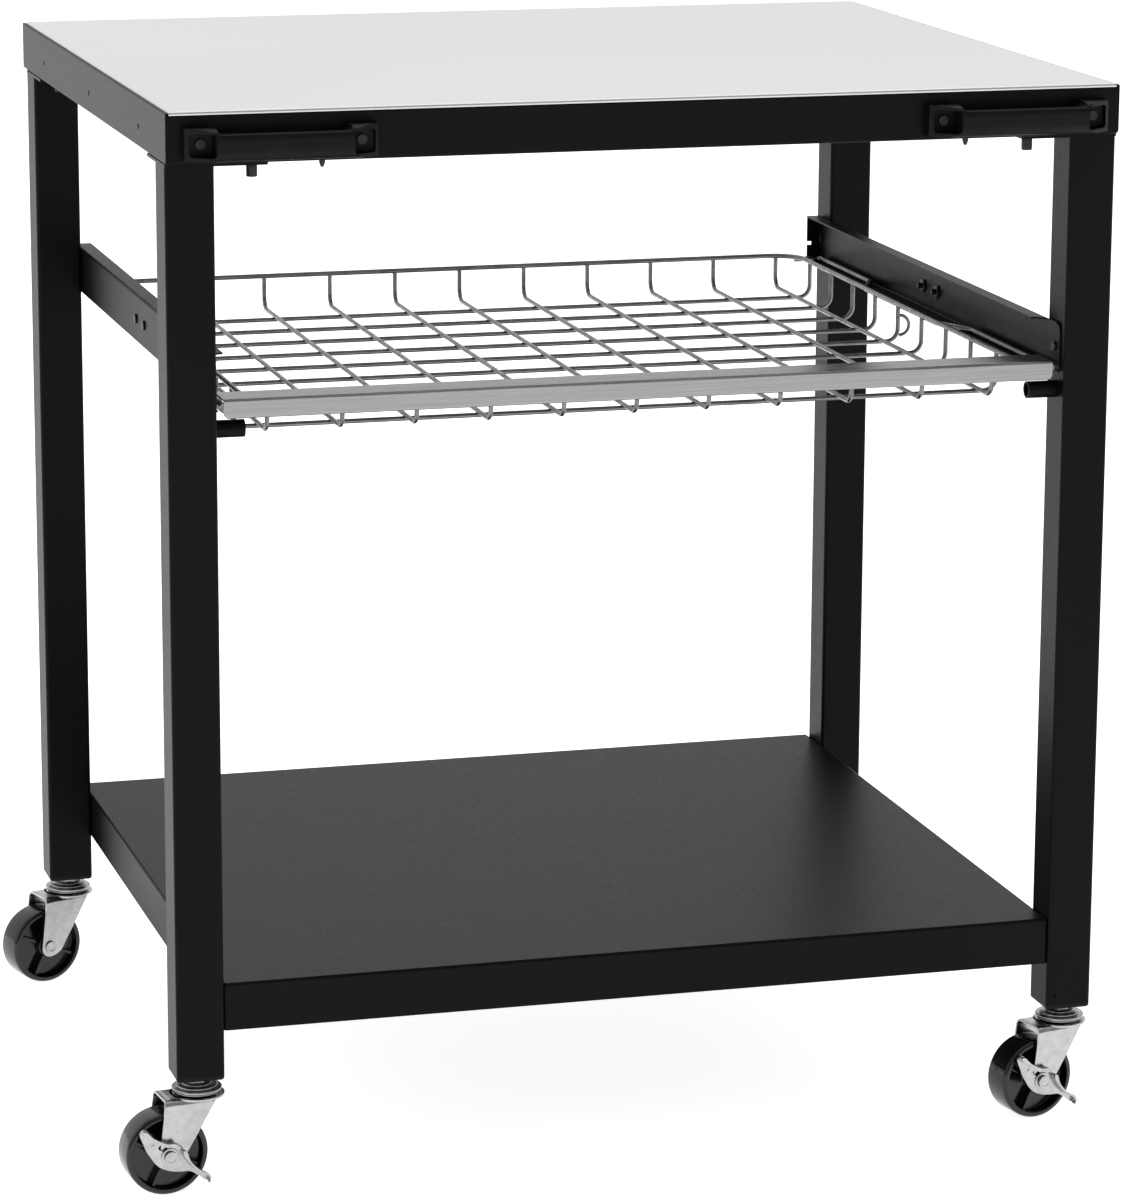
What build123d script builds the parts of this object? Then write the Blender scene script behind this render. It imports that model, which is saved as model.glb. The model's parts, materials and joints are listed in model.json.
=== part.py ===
"""Wheeled cart: a stainless worktop on four tube legs, with a sliding wire basket and a bottom shelf.

Millimetres, +Z up. The origin is the centre of the worktop's top face, +X is to the right and -Y is the
front, where the two handles are.
"""

import os
from math import sqrt

from build123d import *

os.makedirs("parts", exist_ok=True)

# Overall sizes
table_width = 800.0
table_depth = 668.0
table_height = 895.0

# Clearances
free_gap = 0.3  # between two bodies that pass each other
running_fit = 0.05  # radial, shaft in bore
bolt_fit = 0.1  # radial, bolt in hole
weld_sink = 0.3  # how far a welded wire sinks into its neighbour

# Worktop and aprons
top_sheet = 1.0
top_bend = 2.0
apron_sheet = 1.2
apron_height = 42.0
apron_bend = 2.0
flange_width = 30.0
hem_width = 3.0
hem_step = 0.9  # how far the side aprons' top edges lie below the worktop
hem_depth = 3.0
hem_roundness = 0.42  # bend radius of the hem as a share of its width
apron_lip = 5.0
apron_hole_radius = 2.5
apron_hole_spacing = 222.0
apron_hole_drop = 25.0
apron_corner = 4.5
apron_back_corner = 8.0
stiffener_width = 60.0
stiffener_height = 20.0
stiffener_lip = 18.0
stiffener_sheet = 1.2
stiffener_bend = 2.0

# Legs
leg_size = 40.0
leg_wall = 1.5
leg_corner = 3.0
front_leg_inset = 5.0
back_leg_inset = 17.0
leg_plate_thick = 2.5
leg_plate_length = 83.0
leg_plate_width = 72.0
leg_plate_chamfer = 8.0
leg_hole_radius = 1.6
leg_hole_rise = 13.3
leg_hole_offset = 13.3

# Fasteners under the worktop
bolt_radius = 2.5
bolt_head_radius = 4.5
bolt_nut_length = 11.0
bolt_cap_height = 2.0
bolt_side_inset = 73.0
front_bolt_inset = 20.0
back_bolt_inset = 23.5
bolt_leg_gap = 17.0
screw_radius = 2.5
screw_point_radius = 1.2
screw_tip_length = 7.0
screw_reach = 3.0
screw_head_radius = 4.0
screw_head_height = 1.8
flange_screw_side_inset = 129.0
flange_screw_inset = 15.0

# Side rails of the basket
rail_drop = 201.0
rail_height = 42.0
rail_sheet = 1.5
rail_flange = 14.0
rail_bend = 2.5
rail_front_reach = 9.0
rail_back_reach = 12.0
rail_flange_setback = 35.0
rail_nose_radius = 8.0
rail_slot_height = 3.5
rail_slot_depth = 4.5
rail_slot_rise = 16.0
rail_bolt_places = (12.0, -24.0)
star_nut_radius = 6.0
star_nut_thick = 1.2
star_nut_reach = 6.0
peg_radius = 7.2
peg_wall = 1.8
peg_drop = 258.5
peg_length = 25.7
peg_bore_depth = 12.0

# Basket
wire_radius = 2.0
rim_radius = 2.25
rim_half_width = 331.0
rim_back_gap = 12.0
rim_corner = 28.0
wire_tuck = 31.0
basket_floor_drop = 266.0
lengthwise_count = 11
lengthwise_spacing = 62.2
crosswise_spacing = 62.0
wire_bend = 11.0
bar_drop = 233.0
bar_sheet = 1.2
bar_height = 16.0
bar_depth = 34.0
bar_bend = 2.0
bar_hem = 4.0
bar_corner = 5.0
bar_side_gap = 7.0
rim_tuck = 20.0
bar_front_reach = 9.0
runner_radius = 2.5
runner_web_gap = 3.0
runner_back_step = 10.0
runner_joggle_run = 39.0
runner_inner_behind = 100.0  # straight inner part, counted from the middle of the basket
runner_inner_ahead = 90.0
runner_bend = 20.0
loop_radius = 9.0
loop_wire_radius = 1.5
loop_drop = 255.5

# Bottom shelf
shelf_drop = 717.0
shelf_skirt = 40.0
shelf_sheet = 1.2
shelf_bend = 3.0
shelf_bend_step = 0.5
shelf_front_reach = 2.0
shelf_back_reach = 5.0
shelf_screw_drop = 20.0

# Handles
handle_place = 308.5
handle_length = 156.0
handle_front_length = 110.0
handle_foot_depth = 9.0
handle_reach = 26.5
handle_height = 25.5
handle_drop = 12.5
handle_gap_width = 108.0
handle_gap_depth = 13.0
handle_gap_curve = 11.5
handle_edge = 4.0
handle_dip = 4.0
pocket_pitch = 130.0
pocket_width = 18.0
pocket_height = 17.0
pocket_depth = 21.0
pocket_corner = 3.0
handle_screw_radius = 2.0
handle_screw_head_radius = 4.0
handle_screw_head_height = 2.4

# Casters
wheel_radius = 35.0
wheel_width = 28.0
wheel_rim = 7.0
wheel_web = 8.0
wheel_edge = 2.0
hub_radius = 10.0
rib_thick = 3.0
rib_count = 4
rib_angle = 25.0
axle_radius = 4.0
axle_head_radius = 5.5
axle_head_height = 2.5
axle_drop = 61.0
trail = 29.5
fork_sheet = 2.0
fork_side_gap = 1.75
fork_foot_radius = 9.0
fork_top_rear = 32.0
fork_nose = 13.0
crown_radius = 23.0
crown_gap = 1.0
stem_radius = 5.0
stem_insert = 30.0
lock_nut_width = 16.0
lock_nut_height = 5.0
cup_radius = 21.0
cup_top_radius = 12.0
cup_height = 8.0
cup_cone = 4.0
rivet_head_radius = 8.0
rivet_head_height = 2.5
socket_length = 20.0
cap_thick = 4.0
cap_edge = 3.0
lever_thick = 2.0
lever_lip = 5.0
lever_boss_radius = 8.0
lever_boss_height = 1.5
lever_slot_length = 9.0
lever_slot_width = 3.0
lever_slot_along = -10.5
lever_slot_up = 12.0
lever_slot_angle = -42.0
# The half of each paddle's end that carries the turned-out lip: left of the pivot and right of it
lip_align = {False: Align.MAX, True: Align.MIN}
# Each paddle of a brake lever: where its round end lies from the pivot, and that end's radius
lever_paddles = ((-18.5, 20.5, 6.5), (28.5, -18.5, 7.0))

# The angle that each swivel fork rests at, counted from +X
swivel_rest = {"front_left": 6.0, "front_right": 13.0, "back_left": 19.0, "back_right": 10.0}
braked = ("front_left", "front_right")

# Places worked out from the sizes above
half_width = table_width / 2
half_depth = table_depth / 2
leg_bottom = -(table_height - axle_drop - wheel_radius)
plate_top = -apron_height
leg_top = plate_top - leg_plate_thick
leg_x = half_width - leg_size / 2
front_leg_y = -half_depth + front_leg_inset + leg_size / 2
back_leg_y = half_depth - back_leg_inset - leg_size / 2
leg_inner_x = half_width - leg_size
front_leg_face = front_leg_y - leg_size / 2
back_leg_face = back_leg_y + leg_size / 2
leg_places = {
    "front_left": (-leg_x, front_leg_y),
    "front_right": (leg_x, front_leg_y),
    "back_left": (-leg_x, back_leg_y),
    "back_right": (leg_x, back_leg_y),
}
sides = {"left": -1, "right": 1}


def save(builder, name):
    """Label one finished sub-part and write it as its own STEP."""
    builder.part.label = name
    export_step(builder.part, "parts/" + name + ".step")


def facing(side, x, y=0.0, z=0.0):
    """A plane that looks outward along X on that side of the cart, with its local Y along +Z."""
    return Plane(origin=(x, y, z), x_dir=(0, side, 0), z_dir=(side, 0, 0))


def placed(spot, plane):
    """The plane carried to that spot."""
    return Plane(spot * plane.location)


def bent_sheet(plane, points, bends, sheet, turn):
    """Section of a folded sheet: an outer line with its bends, thickened to one side."""
    with BuildSketch(plane) as section:
        with BuildLine():
            FilletPolyline(*points, radius=bends)
            offset(amount=sheet, side=turn)
        make_face()
    return section.sketch


# Worktop: an inverted stainless pan with rolled edges
with BuildPart() as top_plate:
    with BuildSketch(Plane.XY):
        Rectangle(table_width - 2 * hem_width, table_depth)
    extrude(amount=-hem_depth)
    fillet(top_plate.edges().group_by(Axis.Z)[-1], top_bend)
    offset(amount=-top_sheet, openings=top_plate.faces().sort_by(Axis.Z)[0])
save(top_plate, "top_plate")

# Hat channel that stiffens the worktop from below, its brims against the sheet
stiffener_length = table_width - 2 * (hem_width + top_sheet + flange_width)
brim = stiffener_width / 2
crown = brim - stiffener_lip
hat_floor = -top_sheet - stiffener_height
with BuildPart() as top_stiffener:
    section = bent_sheet(
        Plane.YZ,
        [
            (-brim, -top_sheet),
            (-crown, -top_sheet),
            (-crown, hat_floor),
            (crown, hat_floor),
            (crown, -top_sheet),
            (brim, -top_sheet),
        ],
        stiffener_bend,
        stiffener_sheet,
        Side.RIGHT,
    )
    extrude(section, amount=stiffener_length / 2, both=True)
save(top_stiffener, "top_stiffener")

# Places of the bolts and screws through the apron flanges
end_bolt_x = half_width - bolt_side_inset
end_bolt_places = [
    (side * end_bolt_x, y)
    for side in sides.values()
    for y in (-half_depth + front_bolt_inset, half_depth - back_bolt_inset)
]
side_bolt_places = [
    (side * leg_x, y)
    for side in sides.values()
    for y in (front_leg_y + leg_size / 2 + bolt_leg_gap, back_leg_y - leg_size / 2 - bolt_leg_gap)
]
flange_screw_places = [
    (side * (half_width - flange_screw_side_inset), end * (half_depth - flange_screw_inset))
    for side in sides.values()
    for end in (-1, 1)
]

# Side aprons: hemmed over the worktop's edge, with a flange folded in at the bottom
apron_bottom_bends = {"left": apron_back_corner, "right": apron_corner}
for label, side in sides.items():
    with BuildPart() as apron:
        section = bent_sheet(
            Plane.XZ,
            [
                (side * (half_width - hem_width), -hem_depth),
                (side * (half_width - hem_width), -hem_step),
                (side * half_width, -hem_step),
                (side * half_width, -apron_height),
                (side * (half_width - flange_width), -apron_height),
            ],
            [hem_width * hem_roundness, hem_width * hem_roundness, apron_bend],
            apron_sheet,
            Side.RIGHT if side > 0 else Side.LEFT,
        )
        extrude(section, amount=half_depth, both=True)
        flange_end = half_depth - flange_width - free_gap
        with BuildSketch(Plane.XY.offset(-apron_height)):
            with Locations(*[(0, end * (flange_end + flange_width)) for end in (-1, 1)]):
                Rectangle(2 * (half_width - apron_sheet), 2 * flange_width)
        extrude(amount=2 * apron_bend, mode=Mode.SUBTRACT)
        with BuildSketch(Plane.YZ):
            with Locations((0, -apron_height / 2)):
                outline = Rectangle(table_depth, apron_height)
            low_corners = outline.vertices().group_by(Axis.Y)[0].sort_by(Axis.X)
            fillet(low_corners[0], apron_corner)
            fillet(low_corners[1], apron_bottom_bends[label])
        extrude(amount=table_width, both=True, mode=Mode.INTERSECT)
        with BuildSketch(facing(side, side * (half_width - 2 * apron_sheet), z=-apron_hole_drop)):
            with GridLocations(apron_hole_spacing, 0, 3, 1):
                Circle(apron_hole_radius)
        extrude(amount=3 * apron_sheet, mode=Mode.SUBTRACT)
        with BuildSketch(Plane.XY.offset(-apron_height)):
            with Locations(*side_bolt_places):
                Circle(bolt_radius + bolt_fit)
        extrude(amount=2 * apron_sheet, mode=Mode.SUBTRACT)
    save(apron, "apron_" + label)

# Front and back aprons: between the side aprons, a lip under the worktop's edge and a flange below
handle_centre_z = -handle_drop - handle_height / 2
handle_screw_places = [
    (side * handle_place + end * pocket_pitch / 2, handle_centre_z)
    for side in sides.values()
    for end in (-1, 1)
]
for label, end in {"front": -1, "back": 1}.items():
    with BuildPart() as apron:
        section = bent_sheet(
            Plane.YZ,
            [
                (end * (half_depth - apron_lip), -hem_depth),
                (end * half_depth, -hem_depth),
                (end * half_depth, -apron_height),
                (end * (half_depth - flange_width), -apron_height),
            ],
            [hem_width * hem_roundness, apron_bend],
            apron_sheet,
            Side.RIGHT if end > 0 else Side.LEFT,
        )
        extrude(section, amount=half_width - apron_sheet, both=True)
        with BuildSketch(Plane.XY.offset(-apron_height)):
            with Locations(*end_bolt_places):
                Circle(bolt_radius + bolt_fit)
            with Locations(*flange_screw_places):
                Circle(screw_radius + bolt_fit)
        extrude(amount=2 * apron_sheet, mode=Mode.SUBTRACT)
        if label == "front":
            with BuildSketch(Plane.XZ.offset(half_depth - 2 * apron_sheet)):
                with Locations(*handle_screw_places):
                    Circle(handle_screw_radius + bolt_fit)
            extrude(amount=3 * apron_sheet, mode=Mode.SUBTRACT)
    save(apron, "apron_" + label)

# Leg plates: welded to the tops of the legs and bolted up into the apron flanges
with BuildPart() as leg_plates:
    with BuildSketch(Plane.XY.offset(leg_top)):
        for x, y in leg_places.values():
            right = 1 if x > 0 else -1
            back = 1 if y > 0 else -1
            plate_x = x + right * (leg_size - leg_plate_length) / 2
            plate_y = y + back * (leg_size - leg_plate_width) / 2
            with Locations((plate_x, plate_y)):
                plate = Rectangle(leg_plate_length, leg_plate_width)
            inner_corner = plate.vertices().sort_by_distance((0, 0))[0]
            chamfer(inner_corner, leg_plate_chamfer)
        with Locations(*end_bolt_places, *side_bolt_places):
            Circle(bolt_radius + bolt_fit, mode=Mode.SUBTRACT)
    extrude(amount=leg_plate_thick)
save(leg_plates, "leg_plates")

# Legs: square tubes, drilled on the inner side for the rail and shelf screws
rail_mid_z = -rail_drop - rail_height / 2
shelf_screw_z = -shelf_drop - shelf_screw_drop
for label, (x, y) in leg_places.items():
    side = 1 if x > 0 else -1
    with BuildPart() as leg:
        with BuildSketch(Plane.XY.offset(leg_bottom + cap_thick)):
            with Locations((x, y)):
                RectangleRounded(leg_size, leg_size, leg_corner)
                RectangleRounded(
                    leg_size - 2 * leg_wall,
                    leg_size - 2 * leg_wall,
                    leg_corner - leg_wall,
                    mode=Mode.SUBTRACT,
                )
        extrude(amount=leg_top - leg_bottom - cap_thick)
        with BuildSketch(facing(side, side * (leg_inner_x - leg_wall), y)):
            with Locations((0, rail_mid_z), (0, shelf_screw_z)):
                Circle(screw_radius + bolt_fit)
        extrude(amount=3 * leg_wall, mode=Mode.SUBTRACT)
        if label == "front_right":
            with BuildSketch(Plane.XZ.offset(-front_leg_face - leg_wall)):
                with Locations((x - leg_hole_offset, leg_bottom + leg_hole_rise)):
                    Circle(leg_hole_radius)
            extrude(amount=2 * leg_wall, mode=Mode.SUBTRACT)
    save(leg, "leg_" + label)

# Side rails: channels open towards the middle, their flanges swept away near the front end
rail_front = front_leg_face + rail_front_reach
rail_back = back_leg_face - rail_back_reach
rail_bottom = -rail_drop - rail_height
rail_inner_x = leg_inner_x - rail_sheet
rail_tip_x = leg_inner_x - rail_flange
sweep_radius = rail_flange - rail_bend
sweep_y = rail_front + rail_flange_setback - sweep_radius
for label, side in sides.items():
    with BuildPart() as rail:
        section = bent_sheet(
            Plane.XZ.offset(-rail_back),
            [
                (side * rail_tip_x, -rail_drop),
                (side * leg_inner_x, -rail_drop),
                (side * leg_inner_x, rail_bottom),
                (side * rail_tip_x, rail_bottom),
            ],
            rail_bend,
            rail_sheet,
            Side.RIGHT if side > 0 else Side.LEFT,
        )
        extrude(section, amount=rail_back - rail_front)
        with BuildSketch(Plane.XY.offset(rail_bottom)):
            with Locations((side * rail_tip_x, sweep_y)):
                Circle(sweep_radius)
            with Locations((side * rail_tip_x, sweep_y)):
                Rectangle(2 * sweep_radius, 2 * (sweep_y - rail_front), align=(Align.CENTER, Align.MAX))
        extrude(amount=rail_height, mode=Mode.SUBTRACT)
        with BuildSketch(Plane.YZ):
            with Locations(((rail_front + rail_back) / 2, rail_mid_z)):
                outline = Rectangle(rail_back - rail_front, rail_height)
            nose = outline.vertices().group_by(Axis.X)[0].sort_by(Axis.Y)[-1]
            fillet(nose, rail_nose_radius)
        extrude(amount=table_width, both=True, mode=Mode.INTERSECT)
        with BuildSketch(Plane.XZ.offset(-rail_back)):
            with Locations((side * (rail_inner_x + rail_tip_x) / 2, rail_mid_z)):
                Rectangle(rail_inner_x - rail_tip_x, rail_height - 2 * rail_sheet)
            with Locations((side * rail_tip_x, rail_bottom + rail_slot_rise)):
                Rectangle(2 * rail_slot_depth, rail_slot_height, mode=Mode.SUBTRACT)
        extrude(amount=rail_sheet)
        with BuildSketch(facing(side, side * (rail_inner_x - rail_sheet))):
            with Locations(*[(side * y, rail_mid_z) for y in (front_leg_y, back_leg_y)]):
                Circle(screw_radius + bolt_fit)
            with Locations(*[(side * y, rail_mid_z) for y in rail_bolt_places]):
                Circle(bolt_radius + bolt_fit)
        extrude(amount=3 * rail_sheet, mode=Mode.SUBTRACT)
    save(rail, "side_rail_" + label)

# Rest pegs: hollow bosses on the front legs, just under the basket's front bar
for label, side in sides.items():
    with BuildPart() as peg:
        with BuildSketch(facing(side, side * (leg_inner_x - peg_length), front_leg_y, -peg_drop)):
            Circle(peg_radius)
        extrude(amount=peg_length)
        with BuildSketch(facing(side, side * (leg_inner_x - peg_length), front_leg_y, -peg_drop)):
            Circle(peg_radius - peg_wall)
        extrude(amount=peg_bore_depth, mode=Mode.SUBTRACT)
    save(peg, "rest_peg_" + label)

# Bottom shelf: a folded pan between the legs
shelf_front = front_leg_face + shelf_front_reach
shelf_back = back_leg_face + shelf_back_reach
with BuildPart() as bottom_shelf:
    with BuildSketch(Plane.XY.offset(-shelf_drop)):
        with Locations((0, (shelf_front + shelf_back) / 2)):
            Rectangle(2 * leg_inner_x, shelf_back - shelf_front)
    extrude(amount=-shelf_skirt)
    fillet(bottom_shelf.edges().filter_by(Axis.Z), shelf_bend)
    fillet(bottom_shelf.edges().group_by(Axis.Z)[-1], shelf_bend - shelf_bend_step)
    offset(amount=-shelf_sheet, openings=bottom_shelf.faces().sort_by(Axis.Z)[0])
    for side in sides.values():
        with BuildSketch(facing(side, side * (leg_inner_x - 2 * shelf_sheet), z=shelf_screw_z)):
            with Locations((side * front_leg_y, 0), (side * back_leg_y, 0)):
                Circle(screw_radius + bolt_fit)
        extrude(amount=3 * shelf_sheet, mode=Mode.SUBTRACT)
save(bottom_shelf, "bottom_shelf")

# Bow handles on the front apron, each with a pocket over both of its screws
for label, side in sides.items():
    with BuildPart() as handle:
        with BuildSketch(Plane.XY.offset(-handle_drop - handle_height)):
            with BuildLine():
                Polyline(
                    (side * handle_place - handle_length / 2, -half_depth),
                    (side * handle_place - handle_length / 2, -half_depth - handle_foot_depth),
                    (side * handle_place - handle_front_length / 2, -half_depth - handle_reach),
                    (side * handle_place + handle_front_length / 2, -half_depth - handle_reach),
                    (side * handle_place + handle_length / 2, -half_depth - handle_foot_depth),
                    (side * handle_place + handle_length / 2, -half_depth),
                    close=True,
                )
            make_face()
            with Locations((side * handle_place, -half_depth)):
                Rectangle(handle_gap_width, 2 * handle_gap_depth, mode=Mode.SUBTRACT)
        extrude(amount=handle_height)
        gap_corners = [
            edge
            for edge in handle.edges().filter_by(Axis.Z)
            if abs(edge.center().X - side * handle_place) < handle_gap_width / 2 + bolt_fit
            and edge.center().Y < -half_depth - handle_gap_depth / 2
        ]
        fillet(gap_corners, handle_gap_curve)
        with BuildSketch(Plane.XZ.offset(half_depth)):
            with Locations((side * handle_place, -handle_drop)):
                Rectangle(handle_gap_width, 2 * handle_dip)
        extrude(amount=handle_reach, mode=Mode.SUBTRACT)
        bottom_edge = handle.edges().filter_by(Axis.X).group_by(Axis.Y)[0].sort_by(Axis.Z)[0]
        fillet(bottom_edge, handle_edge)
        with BuildSketch(Plane.XZ.offset(half_depth + handle_reach)):
            with Locations((side * handle_place, handle_centre_z)):
                with GridLocations(pocket_pitch, 0, 2, 1):
                    RectangleRounded(pocket_width, pocket_height, pocket_corner)
        extrude(amount=-pocket_depth, mode=Mode.SUBTRACT)
        with BuildSketch(Plane.XZ.offset(half_depth)):
            with Locations((side * handle_place, handle_centre_z)):
                with GridLocations(pocket_pitch, 0, 2, 1):
                    Circle(handle_screw_radius + bolt_fit)
        extrude(amount=handle_reach, mode=Mode.SUBTRACT)
    save(handle, "handle_" + label)

# Basket front bar: a stainless angle with a rolled top edge and a hem at the bottom
bar_front = front_leg_face + bar_front_reach
bar_half = leg_inner_x - bar_side_gap
bar_top = -bar_drop
bar_under = bar_top - bar_sheet
with BuildPart() as basket_front_bar:
    section = bent_sheet(
        Plane.YZ,
        [
            (bar_front + bar_depth, bar_top),
            (bar_front, bar_top),
            (bar_front, bar_top - bar_height),
            (bar_front + bar_hem, bar_top - bar_height),
        ],
        bar_bend,
        bar_sheet,
        Side.LEFT,
    )
    extrude(section, amount=bar_half, both=True)
    with BuildSketch(Plane.XZ):
        with Locations((0, bar_top - bar_height / 2)):
            outline = Rectangle(2 * bar_half, bar_height)
        fillet(outline.vertices().group_by(Axis.Y)[0], bar_corner)
    extrude(amount=table_depth, both=True, mode=Mode.INTERSECT)
save(basket_front_bar, "basket_front_bar")

# Basket rim: a wire that runs round the sides and the back, its ends under the bar
rim_z = bar_under - rim_radius + weld_sink
rim_front = bar_front + rim_tuck
rim_back = rail_back - rim_back_gap
with BuildPart() as basket_rim:
    with BuildLine(Plane.XY.offset(rim_z)) as rim_path:
        FilletPolyline(
            (-rim_half_width, rim_front),
            (-rim_half_width, rim_back),
            (rim_half_width, rim_back),
            (rim_half_width, rim_front),
            radius=rim_corner,
        )
    with BuildSketch(Plane.XZ.offset(-rim_front)):
        with Locations((-rim_half_width, rim_z)):
            Circle(rim_radius)
    sweep(path=rim_path.line)
save(basket_rim, "basket_rim")


def basket_wire(plane, start, end, start_top, end_top, floor):
    """One U-shaped wire in the given plane, between two rising ends."""
    with BuildPart() as wire:
        with BuildLine(plane) as path:
            corners = [(start, start_top), (start, floor), (end, floor), (end, end_top)]
            FilletPolyline(*corners, radius=wire_bend)
        with BuildSketch(Plane(origin=path.line @ 0, z_dir=path.line % 0)):
            Circle(wire_radius)
        sweep(path=path.line)
    return wire.part


riser_top = rim_z - rim_radius / 2
basket_front = bar_front + wire_tuck
basket_floor = -basket_floor_drop
with BuildPart() as basket_lengthwise_wires:
    for place in GridLocations(lengthwise_spacing, 0, lengthwise_count, 1):
        wire_plane = Plane.YZ.offset(place.position.X)
        add(basket_wire(wire_plane, basket_front, rim_back, bar_under, riser_top, basket_floor))
save(basket_lengthwise_wires, "basket_lengthwise_wires")

crosswise_floor = basket_floor - 2 * wire_radius + weld_sink
crosswise_middle = (basket_front + rim_back) / 2
half_run = (rim_back - basket_front) / 2 - wire_bend
crosswise_count = 2 * int(half_run / crosswise_spacing) + 1  # odd, for a wire in the middle
with BuildPart() as basket_crosswise_wires:
    for place in GridLocations(crosswise_spacing, 0, crosswise_count, 1):
        wire_plane = Plane.XZ.offset(-crosswise_middle - place.position.X)
        add(
            basket_wire(
                wire_plane, -rim_half_width, rim_half_width, riser_top, riser_top, crosswise_floor
            )
        )
save(basket_crosswise_wires, "basket_crosswise_wires")

# Runner rods: they slide in the rails, and joggle inward to the basket's side wires half way along
runner_x = rail_inner_x - runner_web_gap - runner_radius
runner_z = rail_bottom + rail_sheet + free_gap + runner_radius
joggle_x = rim_half_width + wire_radius + runner_radius - weld_sink
runner_back = rim_back - runner_back_step
runner_inner_back = crosswise_middle + runner_inner_behind
runner_inner_front = crosswise_middle - runner_inner_ahead
corner_y = runner_back - (rim_back - rim_corner)
hook_x = rim_half_width - rim_corner + sqrt(rim_corner**2 - corner_y**2) + rim_radius
bar_inner_y = bar_front + bar_sheet
for label, side in sides.items():
    with BuildPart() as runner:
        with BuildLine(Plane.XY.offset(runner_z)) as runner_path:
            FilletPolyline(
                (side * runner_x, bar_inner_y),
                (side * runner_x, runner_inner_front - runner_joggle_run),
                (side * joggle_x, runner_inner_front),
                (side * joggle_x, runner_inner_back),
                (side * runner_x, runner_inner_back + runner_joggle_run),
                (side * runner_x, runner_back),
                (side * hook_x, runner_back),
                radius=[runner_bend, runner_bend, runner_bend, runner_bend, 2 * runner_radius],
            )
        with BuildSketch(Plane.XZ.offset(-bar_inner_y)):
            with Locations((side * runner_x, runner_z)):
                Circle(runner_radius)
        sweep(path=runner_path.line)
    save(runner, "runner_" + label)

# Stop loops: half rings on the middle side wires, which meet the rest pegs when the basket is out
loop_x = rim_half_width + wire_radius - loop_wire_radius / 3
with BuildPart() as basket_loops:
    for side in sides.values():
        with BuildLine(Plane.XZ.offset(-crosswise_middle)) as ring:
            ThreePointArc(
                (side * loop_x, -loop_drop + loop_radius),
                (side * (loop_x + loop_radius), -loop_drop),
                (side * loop_x, -loop_drop - loop_radius),
            )
        with BuildSketch(Plane(origin=ring.line @ 0, z_dir=ring.line % 0)):
            Circle(loop_wire_radius)
        sweep(path=ring.line)
save(basket_loops, "basket_loops")


def turned(places, rings):
    """Round fasteners at each plane: rings are (from, to, radius at from, radius at to) up the normal."""
    with BuildPart() as fasteners:
        for place in places:
            with BuildSketch(placed(place.location, Plane.XZ)):
                for low, high, low_radius, high_radius in rings:
                    with BuildLine():
                        Polyline((0, low), (low_radius, low), (high_radius, high), (0, high), close=True)
                    make_face()
            revolve(axis=Axis(place.origin, place.z_dir))
    return fasteners.part


# Bolts through the leg plates, with a cap above the flange and a long nut below
cap_base = apron_sheet
with BuildPart() as corner_bolts:
    add(
        turned(
            [Plane((x, y, plate_top)) for x, y in end_bolt_places + side_bolt_places],
            [
                (cap_base, cap_base + bolt_cap_height, bolt_head_radius, bolt_head_radius),
                (-leg_plate_thick, cap_base, bolt_radius, bolt_radius),
                (-bolt_nut_length - leg_plate_thick, -leg_plate_thick, bolt_head_radius, bolt_head_radius),
            ],
        )
    )
save(corner_bolts, "corner_bolts")

# Self-tapping screws through the flanges, their points below
with BuildPart() as flange_screws:
    add(
        turned(
            [Plane((x, y, plate_top)) for x, y in flange_screw_places],
            [
                (cap_base, cap_base + screw_head_height, screw_head_radius, screw_head_radius),
                (-screw_tip_length / 2, cap_base, screw_radius, screw_radius),
                (-screw_tip_length, -screw_tip_length / 2, screw_point_radius, screw_radius),
            ],
        )
    )
save(flange_screws, "flange_screws")

# Screws at the floors of the handle pockets, through the apron
pocket_floor_y = -half_depth - handle_reach + pocket_depth
with BuildPart() as handle_screws:
    add(
        turned(
            [Plane((x, pocket_floor_y, z), z_dir=(0, -1, 0)) for x, z in handle_screw_places],
            [
                (0, handle_screw_head_height, handle_screw_head_radius, handle_screw_head_radius),
                (
                    pocket_floor_y + half_depth - screw_tip_length,
                    0,
                    handle_screw_radius,
                    handle_screw_radius,
                ),
            ],
        )
    )
save(handle_screws, "handle_screws")


def inward_screws(x, z, head_base):
    """Screws on both sides at the legs' middles, with their heads towards the middle of the cart."""
    return turned(
        [
            Plane((side * x, y, z), z_dir=(-side, 0, 0))
            for side in sides.values()
            for y in (front_leg_y, back_leg_y)
        ],
        [
            (head_base, head_base + screw_head_height, screw_head_radius, screw_head_radius),
            (-leg_wall - screw_reach, head_base, screw_radius, screw_radius),
        ],
    )


with BuildPart() as rail_end_screws:
    add(inward_screws(leg_inner_x, rail_mid_z, rail_sheet))
save(rail_end_screws, "rail_end_screws")

with BuildPart() as shelf_screws:
    add(inward_screws(leg_inner_x, shelf_screw_z, shelf_sheet))
save(shelf_screws, "shelf_screws")

# Two bolts in each rail, held by thin star nuts on the inside
with BuildPart() as rail_bolts:
    add(
        turned(
            [
                Plane((side * leg_inner_x, y, rail_mid_z), z_dir=(-side, 0, 0))
                for side in sides.values()
                for y in rail_bolt_places
            ],
            [
                (-bolt_cap_height, 0, screw_head_radius, bolt_head_radius),
                (0, rail_sheet, bolt_radius, bolt_radius),
                (rail_sheet, rail_sheet + star_nut_thick, star_nut_radius, star_nut_radius),
                (rail_sheet + star_nut_thick, rail_sheet + star_nut_reach, bolt_radius, bolt_radius),
            ],
        )
    )
save(rail_bolts, "rail_bolts")

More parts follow.
